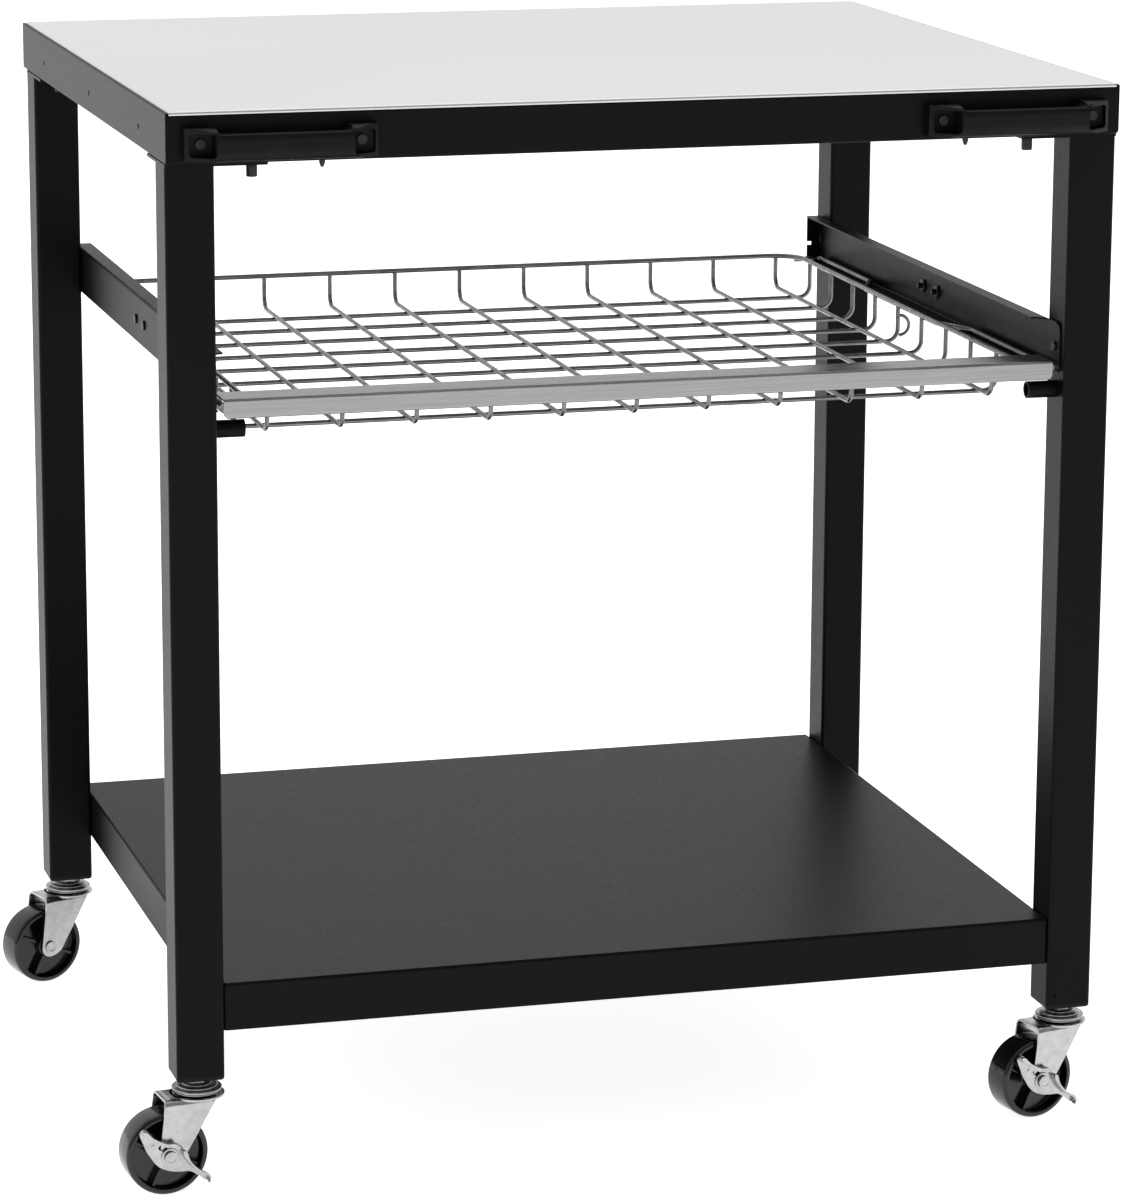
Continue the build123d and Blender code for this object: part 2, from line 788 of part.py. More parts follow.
# Caps with rounded edges that plug the legs' lower ends, and the nuts that lock the stems against them
with BuildPart() as caster_sockets:
    with BuildSketch(Plane.XY.offset(leg_bottom)):
        with Locations(*leg_places.values()):
            RectangleRounded(leg_size, leg_size, leg_corner)
    extrude(amount=cap_thick)
    fillet(caster_sockets.edges().group_by(Axis.Z)[0], cap_edge)
    with BuildSketch(Plane.XY.offset(leg_bottom + cap_thick)):
        with Locations(*leg_places.values()):
            RectangleRounded(leg_size - 2 * leg_wall, leg_size - 2 * leg_wall, leg_corner - leg_wall)
    extrude(amount=socket_length - cap_thick)
    with BuildSketch(Plane.XY.offset(leg_bottom)):
        with Locations(*leg_places.values()):
            Circle(stem_radius + bolt_fit)
    extrude(amount=socket_length, mode=Mode.SUBTRACT)
save(caster_sockets, "caster_sockets")

with BuildPart() as caster_lock_nuts:
    with BuildSketch(Plane.XY.offset(leg_bottom)):
        with Locations(*leg_places.values()):
            RegularPolygon(lock_nut_width / 2, 6, major_radius=False)
            Circle(stem_radius + bolt_fit, mode=Mode.SUBTRACT)
    extrude(amount=-lock_nut_height)
save(caster_lock_nuts, "caster_lock_nuts")

# Heights in a caster, counted down from the leg's lower end
cup_bottom = -lock_nut_height - cup_height
crown_top = cup_bottom - crown_gap
crown_bottom = crown_top - fork_sheet
fork_inner = wheel_width / 2 + fork_side_gap
fork_outer = fork_inner + fork_sheet
axle_spot = (-trail, -axle_drop)
lever_inner = fork_outer + free_gap
lever_outer = lever_inner + lever_thick


def make_caster(label, spot, has_brake):
    """The pieces of one swivel caster; spot puts its upright axis under a leg, turned to where it rests."""
    side_view = placed(spot, Plane.XZ)

    with BuildPart() as stem_cup:
        add(
            turned(
                [placed(spot, Plane.XY)],
                [
                    (-lock_nut_height, stem_insert, stem_radius, stem_radius),
                    (-lock_nut_height - cup_cone, -lock_nut_height, cup_radius, cup_top_radius),
                    (cup_bottom, -lock_nut_height - cup_cone, cup_radius, cup_radius),
                    (crown_bottom - free_gap, cup_bottom, stem_radius, stem_radius),
                    (
                        crown_bottom - free_gap - rivet_head_height,
                        crown_bottom - free_gap,
                        rivet_head_radius,
                        rivet_head_radius,
                    ),
                ],
            )
        )
    save(stem_cup, "caster_" + label + "_stem_cup")

    with BuildPart() as fork:
        with BuildSketch(placed(spot, Plane.XY.offset(crown_bottom))):
            Circle(crown_radius)
            with Locations((fork_nose, 0)):
                Rectangle(fork_nose + fork_top_rear, 2 * fork_outer, align=(Align.MAX, Align.CENTER))
            Circle(stem_radius + running_fit, mode=Mode.SUBTRACT)
        extrude(amount=fork_sheet)
        for start in (-fork_outer, fork_inner):
            with BuildSketch(side_view.offset(start)):
                with Locations(axle_spot):
                    Circle(fork_foot_radius)
                with Locations((fork_nose, crown_bottom)):
                    Rectangle(fork_nose + fork_top_rear, fork_sheet, align=(Align.MAX, Align.MIN))
                make_hull()
                with Locations(axle_spot):
                    Circle(axle_radius + bolt_fit, mode=Mode.SUBTRACT)
            extrude(amount=fork_sheet)
    save(fork, "caster_" + label + "_fork")

    near_head = fork_outer
    if has_brake:
        near_head = lever_outer + lever_boss_height + free_gap
    with BuildPart() as axle:
        add(
            turned(
                [placed(spot, Plane(origin=(-trail, 0, -axle_drop), z_dir=(0, -1, 0)))],
                [
                    (-fork_outer - axle_head_height, -fork_outer, axle_head_radius, axle_head_radius),
                    (-fork_outer, near_head, axle_radius, axle_radius),
                    (near_head, near_head + axle_head_height, axle_head_radius, axle_head_radius),
                ],
            )
        )
    save(axle, "caster_" + label + "_axle")

    with BuildPart() as wheel:
        with BuildSketch(side_view):
            with Locations(axle_spot):
                Circle(wheel_radius)
        extrude(amount=wheel_width / 2, both=True)
        fillet(wheel.edges().filter_by(GeomType.CIRCLE), wheel_edge)
        for start, reach in ((wheel_width / 2, -1), (-wheel_width / 2, 1)):
            with BuildSketch(side_view.offset(start)):
                with Locations(axle_spot):
                    Circle(wheel_radius - wheel_rim)
                    Circle(hub_radius, mode=Mode.SUBTRACT)
                    with PolarLocations(0, rib_count, start_angle=rib_angle):
                        Rectangle(
                            wheel_radius, rib_thick, align=(Align.MIN, Align.CENTER), mode=Mode.SUBTRACT
                        )
            extrude(amount=reach * (wheel_width - wheel_web) / 2, mode=Mode.SUBTRACT)
        with BuildSketch(side_view):
            with Locations(axle_spot):
                Circle(axle_radius + running_fit)
        extrude(amount=wheel_width, both=True, mode=Mode.SUBTRACT)
    save(wheel, "caster_" + label + "_wheel")

    if has_brake:
        with BuildPart() as lever:
            for along, up, tip_radius in lever_paddles:
                with BuildSketch(side_view.offset(lever_inner)):
                    with Locations(axle_spot):
                        Circle(lever_boss_radius)
                    with Locations((along - trail, up - axle_drop)):
                        Circle(tip_radius)
                    make_hull()
                extrude(amount=lever_thick)
                with BuildSketch(side_view.offset(lever_outer)):
                    with Locations((along - trail, up - axle_drop)):
                        Circle(tip_radius)
                        Circle(tip_radius - lever_thick, mode=Mode.SUBTRACT)
                        Rectangle(
                            2 * tip_radius,
                            2 * tip_radius,
                            align=(lip_align[along > 0], Align.CENTER),
                            mode=Mode.INTERSECT,
                        )
                extrude(amount=lever_lip)
            with BuildSketch(side_view.offset(lever_outer)):
                with Locations(axle_spot):
                    Circle(lever_boss_radius)
            extrude(amount=lever_boss_height)
            with BuildSketch(side_view.offset(lever_inner)):
                with Locations(axle_spot):
                    Circle(axle_radius + running_fit)
                with Locations((lever_slot_along - trail, lever_slot_up - axle_drop)):
                    SlotOverall(lever_slot_length, lever_slot_width, rotation=lever_slot_angle)
            extrude(amount=lever_thick + lever_boss_height, mode=Mode.SUBTRACT)
        save(lever, "brake_lever_" + label)


for label, (x, y) in leg_places.items():
    make_caster(label, Location((x, y, leg_bottom), (0, 0, swivel_rest[label])), label in braked)
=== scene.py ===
"""Wheeled cart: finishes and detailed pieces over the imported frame, laid out as a Blender add-on.

Metres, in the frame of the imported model: the origin is the centre of the worktop's top face, +Z is up,
+X is to the right and -Y is the front.
"""

import json
from contextlib import contextmanager
from math import atan2, pi, radians

import bmesh
import bpy
from mathutils import Euler, Matrix, Vector


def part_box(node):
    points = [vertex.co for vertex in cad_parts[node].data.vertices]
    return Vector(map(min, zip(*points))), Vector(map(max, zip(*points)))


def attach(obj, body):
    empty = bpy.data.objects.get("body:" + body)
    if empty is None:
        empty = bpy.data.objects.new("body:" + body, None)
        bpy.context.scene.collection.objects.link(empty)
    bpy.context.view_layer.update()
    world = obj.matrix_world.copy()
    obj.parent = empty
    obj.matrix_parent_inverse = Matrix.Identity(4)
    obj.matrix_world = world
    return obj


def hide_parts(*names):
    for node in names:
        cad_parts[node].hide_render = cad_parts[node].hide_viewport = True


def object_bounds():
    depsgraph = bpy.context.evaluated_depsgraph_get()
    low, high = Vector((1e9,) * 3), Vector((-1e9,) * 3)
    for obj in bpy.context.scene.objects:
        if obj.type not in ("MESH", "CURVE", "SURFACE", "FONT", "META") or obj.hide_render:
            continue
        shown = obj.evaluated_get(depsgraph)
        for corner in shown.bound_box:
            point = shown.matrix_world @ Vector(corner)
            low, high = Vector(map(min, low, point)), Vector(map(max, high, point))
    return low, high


bl_info = {
    "name": "Wheeled cart",
    "version": (1, 0, 0),
    "blender": (4, 5, 0),
    "location": "View3D > Sidebar > Cart",
    "description": "Finishes and detailed pieces of a wheeled worktop cart",
    "category": "Object",
}

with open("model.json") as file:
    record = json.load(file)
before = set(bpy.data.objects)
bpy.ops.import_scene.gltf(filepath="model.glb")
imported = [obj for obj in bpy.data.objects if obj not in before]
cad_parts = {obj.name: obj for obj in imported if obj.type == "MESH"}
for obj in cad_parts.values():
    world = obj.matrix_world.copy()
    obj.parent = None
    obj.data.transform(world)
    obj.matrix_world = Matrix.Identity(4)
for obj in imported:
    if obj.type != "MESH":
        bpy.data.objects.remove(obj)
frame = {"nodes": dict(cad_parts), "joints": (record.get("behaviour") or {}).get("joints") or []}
nodes = frame["nodes"]
joints = {joint["name"]: joint for joint in frame["joints"]}
cad_low, cad_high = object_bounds()

CORNERS = ("front_left", "front_right", "back_left", "back_right")
BRAKED = ("front_left", "front_right")
SIDES = {"left": -1, "right": 1}
MM = 0.001
FORK_OUTER = 0.01775  # from a wheel's middle to the outer face of its fork
BRAKED_OUTER = 0.02185  # the same on the side that carries a brake lever
AXLE_RADIUS = 0.00395
NEAR = 0.0001  # how far a picked edge or face may lie from its plane
CLOSE = 0.001  # the same for edges that stand well apart
BEYOND = 0.01  # how far a cutter reaches past the piece that it cuts
MERGE = 0.00001  # vertices closer than this become one
NOISE_LOW, NOISE_HIGH = 0.3, 0.7  # where most of a noise texture's values lie
SKY_BLEND = 0.6  # the sky's strength runs from front to back between minus and plus this direction
FLOOR_SIZE = 60.0
SENSOR_WIDTH = 36.0  # millimetres
VIEW_REACH = 200.0


class CartFinishes(bpy.types.PropertyGroup):
    """Colours of the cart's materials."""

    paint: bpy.props.FloatVectorProperty(
        name="Powder coat", description="Black of the frame",
        subtype="COLOR", default=(0.0026, 0.0026, 0.0028),
    )
    worktop: bpy.props.FloatVectorProperty(
        name="Worktop", description="Stainless steel of the top",
        subtype="COLOR", default=(0.66, 0.66, 0.66),
    )
    bar: bpy.props.FloatVectorProperty(
        name="Front bar", description="Brushed steel of the basket's bar", subtype="COLOR",
        default=(0.29, 0.29, 0.29),
    )
    wire: bpy.props.FloatVectorProperty(
        name="Wires", description="Plated steel of the basket's wires", subtype="COLOR",
        default=(0.17, 0.17, 0.175),
    )
    zinc: bpy.props.FloatVectorProperty(
        name="Zinc", description="Bright plating of the casters",
        subtype="COLOR", default=(0.42, 0.42, 0.425),
    )
    plastic: bpy.props.FloatVectorProperty(
        name="Handle plastic", description="Black of the handles", subtype="COLOR",
        default=(0.0025, 0.0025, 0.0025),
    )
    wheel: bpy.props.FloatVectorProperty(
        name="Wheel plastic", description="Black of the wheels", subtype="COLOR",
        default=(0.0035, 0.0035, 0.004),
    )


class CartSizes(bpy.types.PropertyGroup):
    """Sizes of the detailed pieces that the frame doesn't give."""

    handle_edge: bpy.props.FloatProperty(
        name="Handle edge", description="Rounding of the handle's edges", unit="LENGTH", default=0.0010
    )
    handle_front: bpy.props.FloatProperty(
        name="Handle front", description="Length of the grip's front face", unit="LENGTH", default=0.110
    )
    handle_foot_depth: bpy.props.FloatProperty(
        name="Handle foot depth", description="Depth of the handle's square feet",
        unit="LENGTH", default=0.009,
    )
    grip_rounding: bpy.props.FloatProperty(
        name="Grip rounding", description="Rounding of the grip's front", unit="LENGTH", default=0.0088
    )
    grip_dip: bpy.props.FloatProperty(
        name="Grip dip", description="How far the grip lies below its ends", unit="LENGTH", default=0.004
    )
    handle_gap_width: bpy.props.FloatProperty(
        name="Finger gap width", description="Length of the gap behind the grip",
        unit="LENGTH", default=0.108,
    )
    handle_gap_depth: bpy.props.FloatProperty(
        name="Finger gap depth", description="Room behind the grip", unit="LENGTH", default=0.013
    )
    pocket_pitch: bpy.props.FloatProperty(
        name="Pocket pitch", description="Distance between the handle's screws",
        unit="LENGTH", default=0.130,
    )
    pocket_width: bpy.props.FloatProperty(
        name="Pocket width", description="Width of the pocket over a screw", unit="LENGTH", default=0.0198
    )
    pocket_height: bpy.props.FloatProperty(
        name="Pocket height", description="Height of the pocket over a screw", unit="LENGTH", default=0.019
    )
    pocket_floor: bpy.props.FloatProperty(
        name="Pocket floor", description="Thickness left behind a pocket", unit="LENGTH", default=0.0055
    )
    sheet: bpy.props.FloatProperty(
        name="Caster sheet", description="Thickness of the pressed caster steel",
        unit="LENGTH", default=0.002,
    )
    wheel_width: bpy.props.FloatProperty(
        name="Wheel width", description="Width of the wheel's tread", unit="LENGTH", default=0.028
    )
    wheel_rim: bpy.props.FloatProperty(
        name="Wheel rim", description="Radial width of the wheel's rim", unit="LENGTH", default=0.0052
    )
    tread_rounding: bpy.props.FloatProperty(
        name="Tread rounding", description="Rounding of the wheel's edges", unit="LENGTH", default=0.0035
    )
    wheel_recess: bpy.props.FloatProperty(
        name="Wheel recess", description="How deep the wheel's faces are dished",
        unit="LENGTH", default=0.010,
    )
    hub_radius: bpy.props.FloatProperty(
        name="Hub radius", description="Radius of the wheel's hub", unit="LENGTH", default=0.010
    )
    bore_radius: bpy.props.FloatProperty(
        name="Bore radius", description="Radius of the wheel's bore", unit="LENGTH", default=0.00405
    )


class CartStudio(bpy.types.PropertyGroup):
    """Camera and light."""

    camera_place: bpy.props.FloatVectorProperty(
        name="Camera place", description="Where the camera stands", subtype="TRANSLATION", unit="LENGTH",
        default=(-1.1211, -4.0316, 0.4803),
    )
    camera_yaw: bpy.props.FloatProperty(
        name="Yaw", description="Turn of the view from +Y towards +X",
        subtype="ANGLE", default=radians(15.77),
    )
    camera_pitch: bpy.props.FloatProperty(
        name="Pitch", description="How far the view looks down", subtype="ANGLE", default=radians(13.04)
    )
    camera_roll: bpy.props.FloatProperty(
        name="Roll", description="Tilt of the horizon", subtype="ANGLE", default=radians(0.26)
    )
    lens: bpy.props.FloatProperty(name="Lens", description="Focal length, mm", default=144.76)
    sky: bpy.props.FloatProperty(name="Sky", description="Brightness behind the cart", default=1.0)
    sky_front: bpy.props.FloatProperty(
        name="Front sky", description="Brightness of the surroundings in front of the cart", default=0.38
    )
    floor_glow: bpy.props.FloatProperty(
        name="Floor glow", description="Light that the floor gives by itself", default=0.85
    )
    key_power: bpy.props.FloatProperty(
        name="Overhead light", description="Power of the overhead softbox", unit="POWER", default=36.0
    )
    side_power: bpy.props.FloatProperty(
        name="Side light", description="Power of the left softbox", unit="POWER", default=14.0
    )


# Materials


def new_material(name, roughness, metallic):
    """A material with its shader, ready for its texture nodes."""
    material = bpy.data.materials.new(name)
    material.use_nodes = True
    shader = material.node_tree.nodes["Principled BSDF"]
    shader.inputs["Roughness"].default_value = roughness
    shader.inputs["Metallic"].default_value = metallic
    return material, shader


def noise(material, scale, detail=4.0, stretch=(1.0, 1.0, 1.0)):
    """Noise on object coordinates, drawn out along an axis by a small stretch factor."""
    tree = material.node_tree
    place = tree.nodes.new("ShaderNodeTexCoord")
    mapping = tree.nodes.new("ShaderNodeMapping")
    mapping.inputs["Scale"].default_value = stretch
    texture = tree.nodes.new("ShaderNodeTexNoise")
    texture.inputs["Scale"].default_value = scale
    texture.inputs["Detail"].default_value = detail
    tree.links.new(place.outputs["Object"], mapping.inputs["Vector"])
    tree.links.new(mapping.outputs["Vector"], texture.inputs["Vector"])
    return texture.outputs["Fac"]


def vary_gloss(material, shader, source, low, high):
    """Roughness that follows the noise's middle range from low to high."""
    tree = material.node_tree
    span = tree.nodes.new("ShaderNodeMapRange")
    span.inputs["From Min"].default_value = NOISE_LOW
    span.inputs["From Max"].default_value = NOISE_HIGH
    span.inputs["To Min"].default_value = low
    span.inputs["To Max"].default_value = high
    tree.links.new(source, span.inputs["Value"])
    tree.links.new(span.outputs["Result"], shader.inputs["Roughness"])


def vary_colour(material, shader, source, colour, darker, lighter):
    """Base colour that drifts between a darker and a lighter shade of one colour."""
    tree = material.node_tree
    ramp = tree.nodes.new("ShaderNodeValToRGB")
    ramp.color_ramp.elements[0].position = NOISE_LOW
    ramp.color_ramp.elements[1].position = NOISE_HIGH
    ramp.color_ramp.elements[0].color = [channel * darker for channel in colour] + [1.0]
    ramp.color_ramp.elements[1].color = [min(1.0, channel * lighter) for channel in colour] + [1.0]
    tree.links.new(source, ramp.inputs["Fac"])
    tree.links.new(ramp.outputs["Color"], shader.inputs["Base Color"])


def add_bump(material, shader, source, strength, height):
    """Relief from a texture, over any relief that is there already."""
    tree = material.node_tree
    bump = tree.nodes.new("ShaderNodeBump")
    bump.inputs["Strength"].default_value = strength
    bump.inputs["Distance"].default_value = height
    tree.links.new(source, bump.inputs["Height"])
    if shader.inputs["Normal"].is_linked:
        tree.links.new(shader.inputs["Normal"].links[0].from_socket, bump.inputs["Normal"])
    tree.links.new(bump.outputs["Normal"], shader.inputs["Normal"])


def powder_coat():
    """Black satin powder coat: orange-peel relief, a fine sparkle and uneven gloss."""
    material, shader = new_material("black powder coat", roughness=0.42, metallic=0.0)
    shader.inputs["Specular IOR Level"].default_value = 0.085
    vary_colour(
        material, shader, noise(material, scale=9.0), bpy.context.scene.cart_finishes.paint,
        darker=0.85, lighter=1.2,
    )
    vary_gloss(material, shader, noise(material, scale=260.0), low=0.37, high=0.43)
    add_bump(material, shader, noise(material, scale=420.0, detail=3.0), strength=0.12, height=0.0004)
    add_bump(material, shader, noise(material, scale=2400.0, detail=2.0), strength=0.10, height=0.0001)
    return material


def worktop_steel():
    """Stainless sheet with a fine brushing along its length and faint handling marks."""
    material, shader = new_material("worktop steel", roughness=0.3, metallic=1.0)
    brushing = noise(material, scale=900.0, detail=3.0, stretch=(0.012, 1.0, 1.0))
    colour = bpy.context.scene.cart_finishes.worktop
    vary_colour(
        material, shader, noise(material, scale=1.6, detail=2.0), colour,
        darker=0.97, lighter=1.03,
    )
    vary_gloss(material, shader, brushing, low=0.26, high=0.33)
    add_bump(material, shader, brushing, strength=0.04, height=0.0002)
    return material


def bar_steel():
    """Stainless strip with the coarser grain of a folded and brushed edge."""
    material, shader = new_material("bar steel", roughness=0.3, metallic=1.0)
    grain = noise(material, scale=700.0, detail=6.0, stretch=(0.02, 1.0, 1.0))
    vary_colour(material, shader, grain, bpy.context.scene.cart_finishes.bar, darker=0.80, lighter=1.15)
    vary_gloss(material, shader, grain, low=0.22, high=0.36)
    add_bump(material, shader, grain, strength=0.08, height=0.0003)
    return material


def plated_wire():
    """Drawn and plated wire: small blotches and a trace of the drawing marks."""
    material, shader = new_material("plated wire", roughness=0.3, metallic=1.0)
    vary_colour(
        material, shader, noise(material, scale=60.0), bpy.context.scene.cart_finishes.wire,
        darker=0.75, lighter=1.2,
    )
    vary_gloss(material, shader, noise(material, scale=150.0), low=0.22, high=0.40)
    add_bump(material, shader, noise(material, scale=1500.0, detail=2.0), strength=0.08, height=0.0001)
    return material


def zinc_plate(name, darkest, tone):
    """Bright zinc plating on pressed steel: soft clouds, rolling marks and fine pits."""
    material, shader = new_material(name, roughness=0.24, metallic=1.0)
    colour = [channel * tone for channel in bpy.context.scene.cart_finishes.zinc]
    vary_colour(
        material, shader, noise(material, scale=160.0, detail=6.0), colour,
        darker=darkest, lighter=1.06,
    )
    vary_gloss(material, shader, noise(material, scale=240.0, detail=5.0), low=0.17, high=0.27)
    add_bump(material, shader, noise(material, scale=90.0, detail=2.0), strength=0.06, height=0.0006)
    add_bump(material, shader, noise(material, scale=1900.0, detail=2.0), strength=0.06, height=0.0001)
    return material


def handle_plastic():
    """Moulded black plastic with a fine spark-eroded grain."""
    material, shader = new_material("handle plastic", roughness=0.5, metallic=0.0)
    shader.inputs["Specular IOR Level"].default_value = 0.14
    vary_colour(
        material, shader, noise(material, scale=40.0), bpy.context.scene.cart_finishes.plastic,
        darker=0.8, lighter=1.2,
    )
    vary_gloss(material, shader, noise(material, scale=60.0), low=0.42, high=0.56)
    add_bump(material, shader, noise(material, scale=1600.0, detail=3.0), strength=0.35, height=0.0002)
    return material


def wheel_plastic():
    """Glossy moulded black plastic with faint flow marks and a little dust."""
    material, shader = new_material("wheel plastic", roughness=0.14, metallic=0.0)
    shader.inputs["Specular IOR Level"].default_value = 0.45
    vary_colour(
        material, shader, noise(material, scale=70.0), bpy.context.scene.cart_finishes.wheel,
        darker=0.8, lighter=1.5,
    )
    vary_gloss(material, shader, noise(material, scale=120.0), low=0.10, high=0.20)
    add_bump(material, shader, noise(material, scale=260.0, detail=3.0), strength=0.05, height=0.0003)
    return material


def black_oxide():
    """Black screws: a darker, rougher skin than the paint."""
    material, shader = new_material("black oxide", roughness=0.38, metallic=0.6)
    vary_colour(
        material, shader, noise(material, scale=300.0), (0.016, 0.016, 0.017),
        darker=0.7, lighter=1.6,
    )
    vary_gloss(material, shader, noise(material, scale=500.0), low=0.28, high=0.50)
    add_bump(material, shader, noise(material, scale=1800.0, detail=2.0), strength=0.15, height=0.0001)
    return material


def finish_nodes(names, material):
    """Give whole nodes one material."""
    for name in names:
        slots = nodes[name].material_slots
        for slot in slots:
            slot.material = material


# Modelling


def deselect():
    """Leave nothing selected, so that an operator touches only the piece that comes next."""
    bpy.ops.object.select_all(action="DESELECT")


@contextmanager
def editing(piece):
    """Edit mode on one piece, with nothing in its mesh selected."""
    deselect()
    piece.select_set(True)
    bpy.context.view_layer.objects.active = piece
    bpy.ops.object.mode_set(mode="EDIT")
    bpy.ops.mesh.select_mode(type="VERT")
    bpy.ops.mesh.select_all(action="DESELECT")
    yield
    bpy.ops.object.mode_set(mode="OBJECT")


def pick(piece, kind, test):
    """Select the vertices, edges or faces whose middle passes the test, and nothing else."""
    bpy.ops.mesh.select_all(action="DESELECT")
    bpy.ops.mesh.select_mode(type=kind)
    mesh = bmesh.from_edit_mesh(piece.data)
    if kind == "VERT":
        for vertex in mesh.verts:
            vertex.select_set(test(vertex.co))
    elif kind == "EDGE":
        for edge in mesh.edges:
            edge.select_set(test((edge.verts[0].co + edge.verts[1].co) / 2))
    else:
        for face in mesh.faces:
            face.select_set(test(face.calc_center_median()))
    mesh.select_flush_mode()
    bmesh.update_edit_mesh(piece.data)


def named(piece, name):
    """Name a piece and its mesh alike."""
    piece.name = name
    piece.data.name = name
    return piece


def new_box(name, low, high):
    """A box between two corners, with its place in its mesh."""
    deselect()
    low, high = Vector(low), Vector(high)
    bpy.ops.mesh.primitive_cube_add(size=1.0, location=(low + high) / 2, scale=high - low)
    piece = named(bpy.context.object, name)
    bpy.ops.object.transform_apply(location=True, rotation=True, scale=True)
    return piece


def new_round(name, radius, low, high, middle=(0.0, 0.0), along="Z", sides=64):
    """A cylinder between two heights along an axis through the middle."""
    deselect()
    turn = {"Z": (0, 0, 0), "Y": (pi / 2, 0, 0), "X": (0, pi / 2, 0)}[along]
    half = (low + high) / 2
    place = {
        "Z": (middle[0], middle[1], half),
        "Y": (middle[0], half, middle[1]),
        "X": (half, middle[0], middle[1]),
    }[along]
    bpy.ops.mesh.primitive_cylinder_add(
        vertices=sides, radius=radius, depth=high - low, location=place, rotation=turn
    )
    piece = named(bpy.context.object, name)
    bpy.ops.object.transform_apply(location=True, rotation=True, scale=True)
    return piece


def apply_modifier(piece, kind, **settings):
    """Add one modifier with these settings and apply it."""
    deselect()
    piece.select_set(True)
    bpy.context.view_layer.objects.active = piece
    modifier = piece.modifiers.new(kind.lower(), kind)
    for key, value in settings.items():
        setattr(modifier, key, value)
    bpy.ops.object.modifier_apply(modifier=modifier.name)


def cut_away(piece, cutter):
    """Subtract one piece from another and throw the cutter away."""
    apply_modifier(piece, "BOOLEAN", operation="DIFFERENCE", object=cutter, solver="EXACT")
    bpy.data.objects.remove(cutter)


def soften(piece, width, segments=3, angle=radians(30)):
    """Round the sharp edges and shade the rest smooth."""
    apply_modifier(
        piece, "BEVEL", width=width, segments=segments, limit_method="ANGLE", angle_limit=angle,
        harden_normals=False,
    )
    smooth(piece)


def smooth(piece):
    """Shade smooth except across sharp edges."""
    deselect()
    piece.select_set(True)
    bpy.context.view_layer.objects.active = piece
    bpy.ops.object.shade_smooth_by_angle(angle=radians(40))


def join(name, pieces):
    """Make one piece of several."""
    deselect()
    for piece in pieces:
        piece.select_set(True)
    bpy.context.view_layer.objects.active = pieces[0]
    bpy.ops.object.join()
    return named(bpy.context.object, name)


def settle(piece, spot):
    """Carry a piece to its spot and put the move in its mesh."""
    deselect()
    piece.select_set(True)
    bpy.context.view_layer.objects.active = piece
    piece.matrix_world = spot @ piece.matrix_world
    bpy.ops.object.transform_apply(location=True, rotation=True, scale=True)
    return piece


def fit_out(piece, body, material, slot, *replaced):
    """Give a finished piece its material, its body and the nodes that it stands for; its slot is not used.
    """
    piece.data.materials.clear()
    piece.data.materials.append(material)
    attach(piece, body)
    if replaced:
        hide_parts(*replaced)


def cut_outline(name, points, height, edge):
    """A flat plate from a closed smooth outline of (x, z) points, lying in the XZ plane about y = 0."""
    deselect()
    curve = bpy.data.curves.new(name, "CURVE")
    curve.dimensions = "2D"
    curve.fill_mode = "BOTH"
    curve.extrude = height / 2 - edge
    curve.bevel_depth = edge
    curve.bevel_resolution = 2
    curve.resolution_u = 8
    curve.offset = -edge
    spline = curve.splines.new("BEZIER")
    spline.bezier_points.add(len(points) - 1)
    spline.use_cyclic_u = True
    for knot, (across, up) in zip(spline.bezier_points, points):
        knot.co = (across, up, 0.0)
        knot.handle_left_type = "AUTO"
        knot.handle_right_type = "AUTO"
    piece = bpy.data.objects.new(name, curve)
    bpy.context.collection.objects.link(piece)
    piece.rotation_euler = (pi / 2, 0, 0)
    piece.select_set(True)
    bpy.context.view_layer.objects.active = piece
    bpy.ops.object.convert(target="MESH")
    piece = bpy.context.object
    bpy.ops.object.transform_apply(location=True, rotation=True, scale=True)
    apply_modifier(piece, "WELD", merge_threshold=MERGE)
    with editing(piece):
        bpy.ops.mesh.select_all(action="SELECT")
        bpy.ops.mesh.normals_make_consistent(inside=False)
    return named(piece, name)


def caster_spot(label):
    """Where a caster stands: its upright axis at the leg's lower end, turned as it rests."""
    axis = Vector(joints["swivel_" + label]["pos_m"])
    axle = Vector(joints["wheel_spin_" + label]["pos_m"])
    back = axis - axle
    turn = atan2(back.y, back.x)
    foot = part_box("caster_sockets")[0].z
    trail = Vector((back.x, back.y)).length
    return Matrix.Translation((axis.x, axis.y, foot)) @ Matrix.Rotation(turn, 4, "Z"), trail, foot - axle.z


